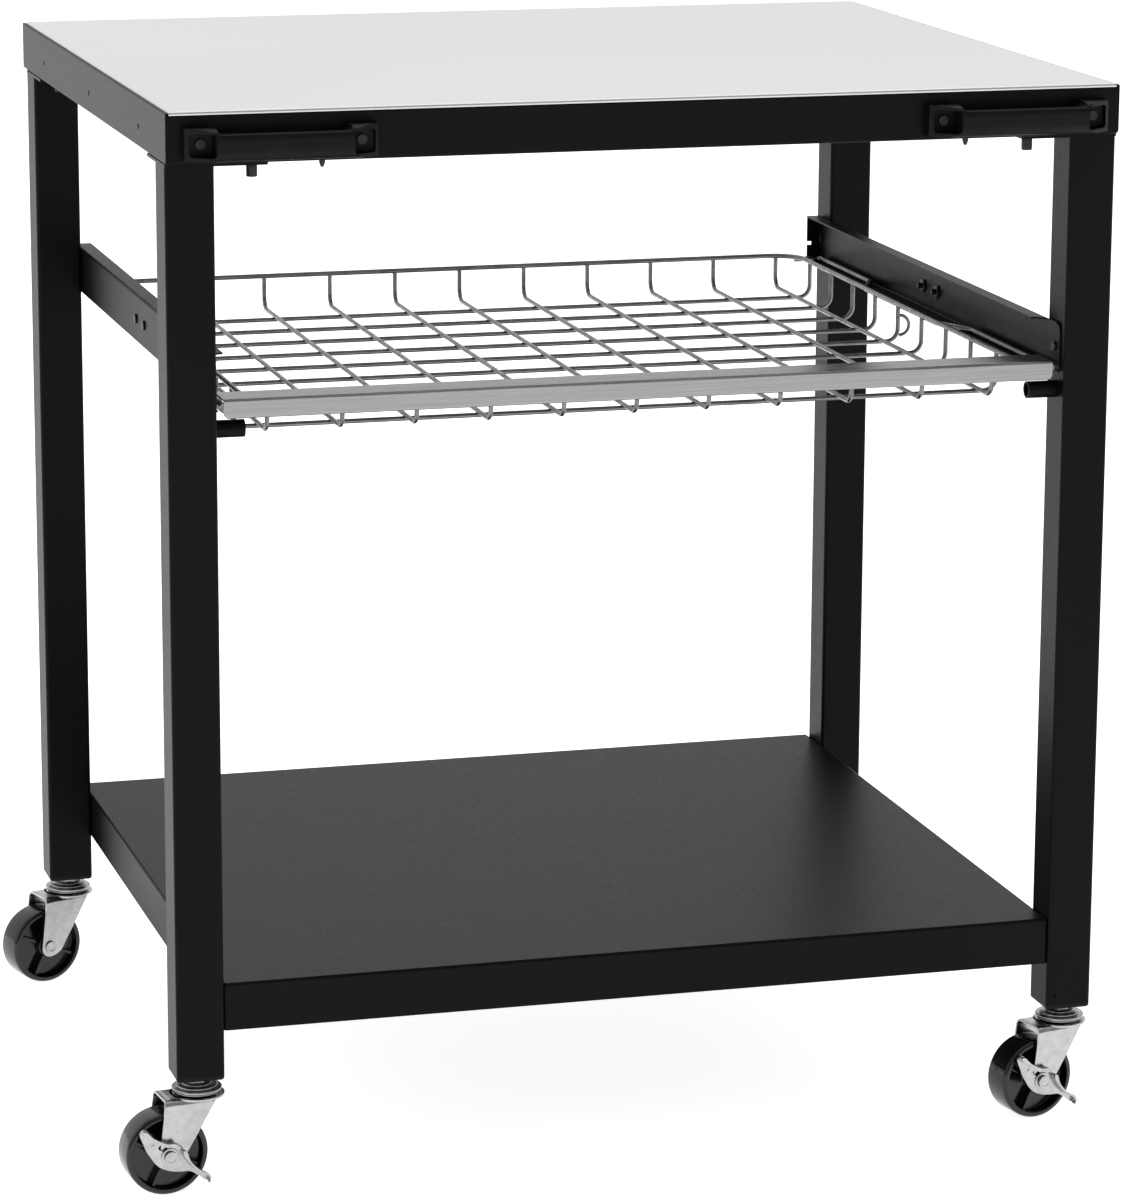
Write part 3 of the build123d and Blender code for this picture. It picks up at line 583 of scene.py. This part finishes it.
def make_handle(label):
    """One bow handle: slanted ends with a deep pocket over each screw, and a dipped, rounded grip."""
    sizes = bpy.context.scene.cart_sizes
    low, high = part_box("handle_" + label)
    middle = (low + high) / 2
    half_gap = sizes.handle_gap_width / 2
    foot_y = high.y - sizes.handle_foot_depth
    gap_curve, dip_curve, pocket_curve, corner = 0.0115, 0.9 * sizes.grip_dip, 0.003, 0.0005
    piece = new_box("handle_" + label + "_grip", (low.x, foot_y, low.z), high)
    with editing(piece):
        pick(piece, "FACE", lambda at: at.y < foot_y + NEAR)
        bpy.ops.mesh.extrude_region_move(TRANSFORM_OT_translate={"value": (0, low.y - foot_y, 0)})
        shrink = sizes.handle_front / (high.x - low.x)
        bpy.ops.transform.resize(value=(shrink, 1, 1), center_override=(middle.x, 0, 0))
        pick(piece, "EDGE", lambda at: at.y < low.y + NEAR and abs(at.x - middle.x) < CLOSE)
        bpy.ops.mesh.bevel(offset=sizes.grip_rounding, segments=10, affect="EDGES")
    gap = new_box(
        "gap",
        (middle.x - half_gap, high.y - sizes.handle_gap_depth, low.z - BEYOND),
        (middle.x + half_gap, high.y + BEYOND, high.z + BEYOND),
    )
    with editing(gap):
        pick(gap, "EDGE", lambda at: at.y < high.y - BEYOND and abs(at.z - middle.z) < CLOSE)
        bpy.ops.mesh.bevel(offset=gap_curve, segments=10, affect="EDGES")
    cut_away(piece, gap)
    dip = new_box(
        "dip",
        (middle.x - half_gap, low.y - BEYOND, high.z - sizes.grip_dip),
        (middle.x + half_gap, high.y + BEYOND, high.z + 2 * BEYOND),
    )
    with editing(dip):
        pick(dip, "EDGE", lambda at: at.z < high.z and abs(at.x - middle.x) > half_gap - CLOSE)
        bpy.ops.mesh.bevel(offset=dip_curve, segments=6, affect="EDGES")
    cut_away(piece, dip)
    for end in (-1, 1):
        x = middle.x + end * sizes.pocket_pitch / 2
        half_width = sizes.pocket_width / 2
        half_height = sizes.pocket_height / 2
        pocket = new_box(
            "pocket",
            (x - half_width, low.y - BEYOND, middle.z - half_height),
            (x + half_width, high.y - sizes.pocket_floor, middle.z + half_height),
        )
        with editing(pocket):
            pick(
                pocket, "EDGE",
                lambda at: abs(abs(at.x - x) - half_width) < corner
                and abs(at.z - middle.z) > half_height - corner,
            )
            bpy.ops.mesh.bevel(offset=pocket_curve, segments=5, affect="EDGES")
        cut_away(piece, pocket)
    soften(piece, sizes.handle_edge, 4)
    smooth(piece)
    return piece


def make_wheel(label):
    """One wheel: dished faces, a hub with its bore, thin ribs and a rounded tread."""
    sizes = bpy.context.scene.cart_sizes
    low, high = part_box("caster_" + label + "_wheel")
    radius = (high.z - low.z) / 2
    spot, trail, drop = caster_spot(label)
    half = sizes.wheel_width / 2
    wheel = new_round("wheel", radius, -half, half, (-trail, -drop), "Y", 96)
    rib_root = radius - sizes.wheel_rim
    flat = 0.00002  # less than the first step of the tread's curve
    rib_half, rib_from, rib_short, rib_sunk = 0.0014, 0.003, 0.0025, 0.001
    with editing(wheel):
        pick(wheel, "EDGE", lambda at: abs(abs(at.y) - half) < NEAR)
        bpy.ops.mesh.bevel(offset=sizes.tread_rounding, segments=5, affect="EDGES")
        pick(wheel, "FACE", lambda at: abs(abs(at.y) - half) < flat)
        bpy.ops.mesh.inset(thickness=sizes.wheel_rim - sizes.tread_rounding)
        bpy.ops.mesh.extrude_region_shrink_fatten(TRANSFORM_OT_shrink_fatten={"value": -sizes.wheel_recess})
        bpy.ops.mesh.inset(thickness=rib_root - sizes.hub_radius)
        bpy.ops.mesh.extrude_region_shrink_fatten(TRANSFORM_OT_shrink_fatten={"value": sizes.wheel_recess})
        bpy.ops.mesh.inset(thickness=sizes.hub_radius - sizes.bore_radius)
        bpy.ops.mesh.bridge_edge_loops()
    apply_modifier(
        wheel, "BEVEL", width=0.0009, segments=3, limit_method="ANGLE", angle_limit=radians(50),
        harden_normals=False,
    )
    ribs = []
    for side in (-1, 1):
        for turn in range(4):
            rib = new_box(
                "rib",
                (sizes.hub_radius - rib_sunk, rib_short - half if side < 0 else rib_from, -rib_half),
                (rib_root + rib_sunk, -rib_from if side < 0 else half - rib_short, rib_half),
            )
            soften(rib, 0.0006, 2)
            angle = Matrix.Rotation(turn * pi / 2 + radians(25), 4, "Y")
            settle(rib, Matrix.Translation((-trail, 0, -drop)) @ angle)
            ribs.append(rib)
    piece = join("caster_" + label + "_rolling_wheel", [wheel] + ribs)
    smooth(piece)
    return settle(piece, spot)


def make_fork(label):
    """One pressed fork: folded side plates that taper to the axle, a crown disc and its raised collar."""
    sizes = bpy.context.scene.cart_sizes
    spot, trail, drop = caster_spot(label)
    top, rear, nose, outer = -0.014, -0.032, 0.013, FORK_OUTER
    foot, taper, shoulder = 0.0095, 0.965, 0.0055
    rear_crease, front_crease, crease_z, crease_end = -0.018, -0.008, -0.04, 0.012
    rear_across, rear_up, front_across, front_up = 0.96, 0.28, 0.92, 0.38
    crown_radius, collar, collar_rise = 0.023, 0.0028, 0.0006
    fold = new_box("fork", (rear, -outer, -drop - foot), (nose, outer, top))
    with editing(fold):
        pick(fold, "FACE", lambda at: at.z < -drop or at.x < rear + NEAR or at.x > nose - NEAR)
        bpy.ops.mesh.delete(type="FACE")
        pick(fold, "EDGE", lambda at: abs(abs(at.y) - outer) < NEAR and at.z < -drop)
        bpy.ops.transform.resize(
            value=(2 * foot / (nose - rear), 1, 1), center_override=((nose + rear) / 2, 0, 0)
        )
        bpy.ops.transform.translate(value=(-trail - (nose + rear) / 2, 0, 0))
        pick(fold, "VERT", lambda at: at.z < -drop)
        bpy.ops.mesh.bevel(offset=foot * 0.98, segments=8, affect="VERTICES")
        pick(fold, "EDGE", lambda at: abs(at.z - top) < NEAR and abs(abs(at.y) - outer) < NEAR)
        bpy.ops.mesh.bevel(offset=shoulder, segments=8, affect="EDGES")
        bpy.ops.mesh.select_all(action="SELECT")
        bpy.ops.mesh.bisect(plane_co=(rear_crease, 0, crease_z), plane_no=(rear_across, 0, rear_up))
        bpy.ops.mesh.select_all(action="SELECT")
        bpy.ops.mesh.bisect(plane_co=(front_crease, 0, crease_z), plane_no=(front_across, 0, front_up))
        pick(
            fold, "EDGE",
            lambda at: abs((at.x - rear_crease) * rear_across + (at.z - crease_z) * rear_up) < 2 * NEAR
            and at.z > -drop + crease_end,
        )
        bpy.ops.transform.resize(value=(1, taper, 1), center_override=(0, 0, 0))
        bpy.ops.mesh.select_all(action="SELECT")
        bpy.ops.mesh.remove_doubles(threshold=MERGE)
        bpy.ops.mesh.normals_make_consistent(inside=False)
    apply_modifier(fold, "SOLIDIFY", thickness=sizes.sheet, offset=-1.0)
    soften(fold, 0.0004, 2, radians(60))
    disc = new_round("crown", crown_radius, top - sizes.sheet, top, (0, 0), "Z", 72)
    with editing(disc):
        pick(disc, "FACE", lambda at: abs(at.z - top) < NEAR)
        bpy.ops.mesh.inset(thickness=collar)
        bpy.ops.mesh.extrude_region_shrink_fatten(TRANSFORM_OT_shrink_fatten={"value": -collar_rise})
    soften(disc, 0.0005, 2, radians(25))
    piece = join("caster_" + label + "_pressed_fork", [fold, disc])
    smooth(piece)
    return settle(piece, spot)


def make_stem_cup(label):
    """One raceway cup with its rolled rings, on the threaded stem, and the rivet below the crown."""
    spot, trail, drop = caster_spot(label)
    stem_radius, stem_low, stem_high, ring_edge = 0.0049, -0.0165, 0.029, 0.0009
    stem = new_round("stem", stem_radius, stem_low, stem_high, (0, 0), "Z", 32)
    parts = [stem]
    rings = (  # radius, lower and upper end
        (0.0125, -0.0068, -0.0050),
        (0.0172, -0.0088, -0.0066),
        (0.0209, -0.0112, -0.0086),
        (0.0196, -0.0131, -0.0110),
        (0.0080, -0.0188, -0.0163),
    )
    for radius, low, high in rings:
        ring = new_round("ring", radius, low, high, (0, 0), "Z", 72)
        soften(ring, min(ring_edge, (high - low) * 0.45), 4)
        parts.append(ring)
    piece = join("caster_" + label + "_raceway", parts)
    smooth(piece)
    return settle(piece, spot)


def make_axle(label):
    """One axle with domed heads."""
    spot, trail, drop = caster_spot(label)
    low, high = FORK_OUTER, FORK_OUTER
    if label in BRAKED:
        high = BRAKED_OUTER
    sunk, head_radius, head_thick, dome, dome_rise = 0.0005, 0.0055, 0.0024, 0.0018, 0.0004
    middle = (-trail, -drop)
    shank = new_round("shank", AXLE_RADIUS, -high - sunk, low + sunk, middle, "Y", 40)
    parts = [shank]
    for start, end, face in ((-high - head_thick, -high, -1), (low, low + head_thick, 1)):
        head = new_round("head", head_radius, start, end, middle, "Y", 40)
        with editing(head):
            outer = start if face < 0 else end
            pick(head, "FACE", lambda at: abs(at.y - outer) < NEAR)
            bpy.ops.mesh.inset(thickness=dome)
            bpy.ops.mesh.extrude_region_shrink_fatten(TRANSFORM_OT_shrink_fatten={"value": -dome_rise})
        soften(head, 0.0007, 3, radians(25))
        parts.append(head)
    piece = join("caster_" + label + "_rivet_axle", parts)
    smooth(piece)
    return settle(piece, spot)


LEVER_OUTLINE = (
    (-23.5, 25.5), (-14.0, 18.5), (-4.0, 13.2), (5.0, 10.8), (11.0, 5.5), (16.5, -4.5), (24.0, -12.5),
    (33.5, -19.5), (33.0, -23.5), (24.0, -18.8), (17.0, -14.6), (8.0, -13.8), (-2.0, -11.8), (-10.5, -7.0),
    (-17.0, 1.5), (-22.0, 11.0),
)


def make_brake(label):
    """One brake lever: a pressed plate with turned-out upper edges, a slot, a dimple and a hub."""
    spot, trail, drop = caster_spot(label)
    middle = (-trail, -drop)
    lever_gap, thick, plate_edge, bore_radius = 0.0003, 0.002, 0.0005, 0.00405
    slot_half, slot_half_high, slot_end, slot_corner = 0.0060, 0.0022, 0.0021, 0.002
    dimple_radius, dimple_depth, hub_radius, hub_rise, hub_sunk = 0.0018, 0.0006, 0.0078, 0.0012, 0.0002
    lip_across, lip_up, lip_wide, lip_edge, lip_out = 0.0010, 0.0016, 0.005, 0.0003, 0.0022
    near = -(FORK_OUTER + lever_gap)
    outline = [(across * MM - trail, up * MM - drop) for across, up in LEVER_OUTLINE]
    plate = cut_outline("plate", outline, thick, plate_edge)
    settle(plate, Matrix.Translation((0, near - thick / 2, 0)))
    bore = new_round("bore", bore_radius, near - BEYOND, near + BEYOND, middle, "Y", 32)
    cut_away(plate, bore)
    slot = new_box(
        "slot",
        (-slot_half, near - BEYOND, -slot_half_high),
        (slot_half, near + BEYOND, slot_half_high),
    )
    with editing(slot):
        pick(slot, "EDGE", lambda at: abs(at.x) > slot_half - CLOSE and abs(at.z) > slot_corner)
        bpy.ops.mesh.bevel(offset=slot_end, segments=6, affect="EDGES")
    slot_turn = Matrix.Rotation(radians(30), 4, "Y")
    settle(slot, Matrix.Translation((-trail - 0.0045, 0, -drop + 0.0068)) @ slot_turn)
    cut_away(plate, slot)
    dimple_spot = (-trail - 0.0155, -drop + 0.0130)
    face = near - thick
    dimple = new_round("dimple", dimple_radius, face - CLOSE, face + dimple_depth, dimple_spot, "Y", 24)
    cut_away(plate, dimple)
    hub = new_round("hub", hub_radius, face - hub_rise, face + hub_sunk, middle, "Y", 48)
    hub_bore = new_round("bore", bore_radius, near - BEYOND, near + BEYOND, middle, "Y", 32)
    cut_away(hub, hub_bore)
    soften(hub, 0.0005, 3)
    parts = [plate, hub]
    lips = (LEVER_OUTLINE[0:4], LEVER_OUTLINE[4:9])
    for number, lip in enumerate(lips):
        back = [(across * MM - trail, up * MM - drop) for across, up in lip]
        inward = [(across - lip_across, up - lip_up) for across, up in reversed(back)]
        wall = cut_outline("lip%d" % number, back + inward, lip_wide, lip_edge)
        settle(wall, Matrix.Translation((0, face - lip_out, 0)))
        parts.append(wall)
    piece = join("brake_lever_" + label + "_pedal", parts)
    smooth(piece)
    return settle(piece, spot)


def make_bolt_ends():
    """Long nuts with chamfered ends under the leg plates, their washers and the bolts' heads above."""
    low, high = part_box("corner_bolts")
    plate_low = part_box("leg_plates")[0]
    front_leg_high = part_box("leg_front_left")[1]
    back_leg_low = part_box("leg_back_left")[0]
    nut_radius, washer_radius, washer_thick = 0.0045, 0.0062, 0.0010
    cap_low, cap_high = plate_low.z + 0.0036, plate_low.z + 0.0056
    bolt_spread, leg_gap = 0.053, 0.017
    mouth, mouth_depth, nut_edge, washer_edge = 0.0016, 0.0015, 0.0007, 0.0003
    outer_x = high.x - nut_radius
    inner_x = outer_x - bolt_spread
    spots = []
    for side in (-1, 1):
        spots += [(side * inner_x, low.y + nut_radius), (side * inner_x, high.y - nut_radius)]
        spots += [(side * outer_x, front_leg_high.y + leg_gap), (side * outer_x, back_leg_low.y - leg_gap)]
    pieces = []
    for spot in spots:
        nut = new_round("nut", nut_radius, low.z, plate_low.z, spot, "Z", 40)
        with editing(nut):
            pick(nut, "FACE", lambda at: abs(at.z - low.z) < NEAR)
            bpy.ops.mesh.inset(thickness=mouth)
            bpy.ops.mesh.extrude_region_shrink_fatten(TRANSFORM_OT_shrink_fatten={"value": -mouth_depth})
        soften(nut, nut_edge, 3)
        washer = new_round("washer", washer_radius, plate_low.z - washer_thick, plate_low.z, spot, "Z", 40)
        soften(washer, washer_edge, 2)
        cap = new_round("cap", nut_radius, cap_low, cap_high, spot, "Z", 40)
        soften(cap, nut_edge, 3)
        pieces += [nut, washer, cap]
    piece = join("corner_bolts_and_nuts", pieces)
    smooth(piece)
    return piece


def make_star_nuts():
    """Rail bolts held by thin star nuts, with small round heads outside."""
    low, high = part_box("rail_bolts")
    middle_z = (low.z + high.z) / 2
    star_radius, star_half, star_points, spike = 0.0052, 0.0006, 20, 1.28
    end_radius, head_radius, from_edge = 0.0024, 0.0043, 0.006
    star_x, end_x, rail_x, head_x = 0.3573, 0.3525, 0.360, 0.3619
    pieces = []
    for side in (-1, 1):
        for y in (low.y + from_edge, high.y - from_edge):
            middle = (y, middle_z)
            at_star = side * star_x
            star = new_round(
                "star", star_radius, at_star - star_half, at_star + star_half, middle, "X", star_points
            )
            with editing(star):
                step = 2 * pi / star_points
                pick(star, "VERT", lambda at: round((atan2(at.z - middle_z, at.y - y) + pi) / step) % 4 < 2)
                bpy.ops.transform.resize(value=(1, spike, spike), center_override=(0, y, middle_z))
            soften(star, 0.0002, 2)
            inner, rail, outer = side * end_x, side * rail_x, side * head_x
            end = new_round("end", end_radius, min(inner, rail), max(inner, rail), middle, "X", 24)
            soften(end, 0.0004, 2)
            head = new_round("head", head_radius, min(rail, outer), max(rail, outer), middle, "X", 32)
            soften(head, 0.0008, 3)
            pieces += [star, end, head]
    piece = join("rail_bolts_with_star_nuts", pieces)
    smooth(piece)
    return piece


class CART_OT_frame_finish(bpy.types.Operator):
    """Powder coat on the frame and black skin on its screws"""

    bl_idname = "cart.frame_finish"
    bl_label = "Frame finish"

    def execute(self, context):
        paint = powder_coat()
        painted = [name for name in nodes if name.startswith(("apron_", "leg_", "side_rail_", "rest_peg_"))]
        finish_nodes(painted + ["bottom_shelf"], paint)
        finish_nodes(["flange_screws", "handle_screws", "rail_end_screws"], black_oxide())
        plated = zinc_plate("zinc fasteners", darkest=0.5, tone=0.8)
        finish_nodes(["shelf_screws", "caster_lock_nuts"], plated)
        finish_nodes(["caster_sockets"], handle_plastic())
        return {"FINISHED"}


class CART_OT_worktop_finish(bpy.types.Operator):
    """Stainless steel on the worktop and its stiffener"""

    bl_idname = "cart.worktop_finish"
    bl_label = "Worktop finish"

    def execute(self, context):
        finish_nodes(["top_plate"], worktop_steel())
        finish_nodes(["top_stiffener"], zinc_plate("galvanised stiffener", darkest=0.7, tone=0.75))
        return {"FINISHED"}


class CART_OT_basket_finish(bpy.types.Operator):
    """Plated wire and a brushed front bar on the basket"""

    bl_idname = "cart.basket_finish"
    bl_label = "Basket finish"

    def execute(self, context):
        bar = "basket_front_bar"
        wires = [name for name in nodes if name.startswith(("basket_", "runner_")) and name != bar]
        finish_nodes(wires, plated_wire())
        finish_nodes([bar], bar_steel())
        return {"FINISHED"}


class CART_OT_handles(bpy.types.Operator):
    """The two bow handles"""

    bl_idname = "cart.handles"
    bl_label = "Handles"

    def execute(self, context):
        plastic = handle_plastic()
        for label in SIDES:
            fit_out(make_handle(label), "frame", plastic, "handle_plastic", "handle_" + label)
        return {"FINISHED"}


class CART_OT_fasteners(bpy.types.Operator):
    """Bolts under the leg plates and star nuts on the rails"""

    bl_idname = "cart.fasteners"
    bl_label = "Fasteners"

    def execute(self, context):
        skin = black_oxide()
        fit_out(make_bolt_ends(), "frame", skin, "black_fasteners", "corner_bolts")
        fit_out(make_star_nuts(), "frame", skin, "black_fasteners", "rail_bolts")
        return {"FINISHED"}


class CART_OT_casters(bpy.types.Operator):
    """Forks, raceway cups, axles, wheels and brake levers of the four casters"""

    bl_idname = "cart.casters"
    bl_label = "Casters"

    def execute(self, context):
        zinc = zinc_plate("bright zinc", darkest=0.88, tone=1.0)
        dull = zinc_plate("raceway zinc", darkest=0.7, tone=0.8)
        plastic = wheel_plastic()
        for label in CORNERS:
            caster = "caster_" + label
            fit_out(make_stem_cup(label), "frame", dull, "caster_zinc", caster + "_stem_cup")
            fit_out(make_fork(label), "fork_" + label, zinc, "caster_zinc", caster + "_fork")
            fit_out(make_axle(label), "fork_" + label, zinc, "caster_zinc", caster + "_axle")
            fit_out(make_wheel(label), "wheel_" + label, plastic, "wheel_black", caster + "_wheel")
        for label in BRAKED:
            fit_out(make_brake(label), "brake_" + label, zinc, "caster_zinc", "brake_lever_" + label)
        return {"FINISHED"}


class CART_OT_stage(bpy.types.Operator):
    """Pale floor, soft light and the camera"""

    bl_idname = "cart.stage"
    bl_label = "Stage"

    def execute(self, context):
        studio = context.scene.cart_studio
        floor_z = cad_low.z
        deselect()
        bpy.ops.mesh.primitive_plane_add(size=FLOOR_SIZE, location=(0, 0, floor_z))
        floor = named(context.object, "studio_floor")
        bpy.ops.object.transform_apply(location=True, rotation=True, scale=True)
        paper, shader = new_material("pale paper", roughness=0.8, metallic=0.0)
        shader.inputs["Specular IOR Level"].default_value = 0.1
        vary_colour(
            paper, shader, noise(paper, scale=0.6), (0.97, 0.97, 0.97),
            darker=0.995, lighter=1.005,
        )
        shader.inputs["Emission Color"].default_value = (1.0, 1.0, 1.0, 1.0)
        shader.inputs["Emission Strength"].default_value = studio.floor_glow
        floor.data.materials.append(paper)

        world = bpy.data.worlds.new("studio")
        world.use_nodes = True
        tree = world.node_tree
        tree.nodes["Background"].inputs["Color"].default_value = (1.0, 1.0, 1.0, 1.0)
        direction = tree.nodes.new("ShaderNodeTexCoord")
        parts = tree.nodes.new("ShaderNodeSeparateXYZ")
        shade = tree.nodes.new("ShaderNodeMapRange")
        shade.inputs["From Min"].default_value = -SKY_BLEND
        shade.inputs["From Max"].default_value = SKY_BLEND
        shade.inputs["To Min"].default_value = studio.sky_front
        shade.inputs["To Max"].default_value = studio.sky
        tree.links.new(direction.outputs["Generated"], parts.inputs["Vector"])
        tree.links.new(parts.outputs["Y"], shade.inputs["Value"])
        tree.links.new(shade.outputs["Result"], tree.nodes["Background"].inputs["Strength"])
        context.scene.world = world

        lights = (  # name, place, turn, power, side length
            ("overhead softbox", (0.4, 0.8, 3.0), (0, 0, 0), studio.key_power, 4.5),
            ("left softbox", (-3.2, -0.2, 1.0), (0, -radians(75), 0), studio.side_power, 3.0),
        )
        for name, place, turn, power, size in lights:
            deselect()
            bpy.ops.object.light_add(type="AREA", location=place, rotation=turn)
            lamp = context.object
            lamp.name = name
            lamp.data.shape = "SQUARE"
            lamp.data.size = size
            lamp.data.energy = power

        deselect()
        bpy.ops.object.camera_add(location=studio.camera_place)
        camera = context.object
        camera.name = "product camera"
        facing = Euler((pi / 2 - studio.camera_pitch, 0, -studio.camera_yaw)).to_matrix()
        roll = Matrix.Rotation(studio.camera_roll, 3, "Z")
        camera.rotation_euler = (facing @ roll).to_euler()
        camera.data.lens = studio.lens
        camera.data.sensor_width = SENSOR_WIDTH
        camera.data.clip_end = VIEW_REACH
        context.scene.camera = camera
        context.scene.view_settings.view_transform = "Standard"
        return {"FINISHED"}


class CART_PT_panel(bpy.types.Panel):
    """Lists the steps that build the cart"""

    bl_label = "Wheeled cart"
    bl_idname = "CART_PT_panel"
    bl_space_type = "VIEW_3D"
    bl_region_type = "UI"
    bl_category = "Cart"

    def draw(self, context):
        layout = self.layout
        for step in STEPS:
            layout.operator(step.bl_idname)
        for group in (context.scene.cart_finishes, context.scene.cart_sizes, context.scene.cart_studio):
            column = layout.column()
            for name in group.__annotations__:
                column.prop(group, name)


STEPS = (
    CART_OT_frame_finish,
    CART_OT_worktop_finish,
    CART_OT_basket_finish,
    CART_OT_handles,
    CART_OT_fasteners,
    CART_OT_casters,
    CART_OT_stage,
)
GROUPS = (CartFinishes, CartSizes, CartStudio)


def register():
    """Register the classes and hang the settings on the scene."""
    for item in GROUPS + STEPS + (CART_PT_panel,):
        bpy.utils.register_class(item)
    bpy.types.Scene.cart_finishes = bpy.props.PointerProperty(type=CartFinishes)
    bpy.types.Scene.cart_sizes = bpy.props.PointerProperty(type=CartSizes)
    bpy.types.Scene.cart_studio = bpy.props.PointerProperty(type=CartStudio)


def unregister():
    """Undo register."""
    del bpy.types.Scene.cart_studio
    del bpy.types.Scene.cart_sizes
    del bpy.types.Scene.cart_finishes
    for item in reversed(GROUPS + STEPS + (CART_PT_panel,)):
        bpy.utils.unregister_class(item)


def main():
    """Build the whole cart step by step."""
    register()
    for step in STEPS:
        family, action = step.bl_idname.split(".")
        getattr(getattr(bpy.ops, family), action)()


if __name__ == "__main__":
    main()
